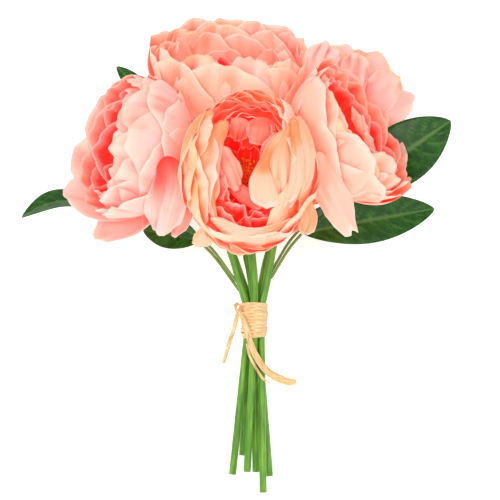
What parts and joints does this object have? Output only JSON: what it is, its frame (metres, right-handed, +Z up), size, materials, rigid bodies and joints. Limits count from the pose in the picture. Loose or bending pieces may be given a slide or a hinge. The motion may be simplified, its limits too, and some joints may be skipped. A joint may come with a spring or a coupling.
{
  "type": "bunch of peonies",
  "caption": "Bunch of full peach-pink peonies on green stems with leaves, tied at the waist with raffia and lying on its back.",
  "frame": {"origin": "centre of the footprint, on the surface that the bunch lies on", "axes": "+Y along the bunch on the surface, from the cut stem ends towards the heads; +Z up; +X across it, to the right of someone who looks down on it with the stems towards them"},
  "size_m": [0.2818, 0.3012, 0.1726],
  "materials": {
    "petal_pale": "matt, faintly veined, pale peach-pink",
    "petal_peach": "matt, faintly veined, peach",
    "petal_coral": "matt, deep coral",
    "stamen_gold": "powdery, golden orange",
    "sepal_green": "matt green",
    "stem_green": "smooth, slightly glossy green",
    "leaf_green": "waxy dark green, paler underneath",
    "raffia_straw": "dry fibrous straw"
  },
  "bodies": {
    "root": {"front_stem": "stem_green", "front_calyx": "sepal_green", "front_guard_petals": "petal_pale", "front_outer_petals": "petal_pale", "front_middle_petals": "petal_peach", "front_inner_petals": "petal_coral", "front_stamens": "stamen_gold", "left_stem": "stem_green", "left_calyx": "sepal_green", "left_guard_petals": "petal_pale", "left_outer_petals": "petal_pale", "left_middle_petals": "petal_peach", "left_inner_petals": "petal_coral", "left_stamens": "stamen_gold", "right_stem": "stem_green", "right_calyx": "sepal_green", "right_guard_petals": "petal_pale", "right_outer_petals": "petal_pale", "right_middle_petals": "petal_peach", "right_inner_petals": "petal_coral", "right_stamens": "stamen_gold", "top_stem": "stem_green", "top_calyx": "sepal_green", "top_guard_petals": "petal_pale", "top_outer_petals": "petal_pale", "top_middle_petals": "petal_peach", "top_inner_petals": "petal_coral", "top_stamens": "stamen_gold", "back_left_stem": "stem_green", "back_left_calyx": "sepal_green", "back_left_guard_petals": "petal_pale", "back_left_outer_petals": "petal_pale", "back_left_middle_petals": "petal_peach", "back_left_inner_petals": "petal_coral", "back_left_stamens": "stamen_gold", "back_right_stem": "stem_green", "back_right_calyx": "sepal_green", "back_right_guard_petals": "petal_pale", "back_right_outer_petals": "petal_pale", "back_right_middle_petals": "petal_peach", "back_right_inner_petals": "petal_coral", "back_right_stamens": "stamen_gold", "right_lower_leaf": "leaf_green", "right_inner_leaf": "leaf_green", "right_upper_leaf": "leaf_green", "left_lower_leaf": "leaf_green", "left_inner_leaf": "leaf_green", "left_outer_leaf": "leaf_green", "top_left_leaf": "leaf_green", "back_low_leaf": "leaf_green", "back_side_leaf": "leaf_green", "raffia_binding": "raffia_straw", "raffia_knot": "raffia_straw", "raffia_left_tail": "raffia_straw", "raffia_right_tail": "raffia_straw", "raffia_thin_tail": "raffia_straw"}
  },
  "joints": []
}
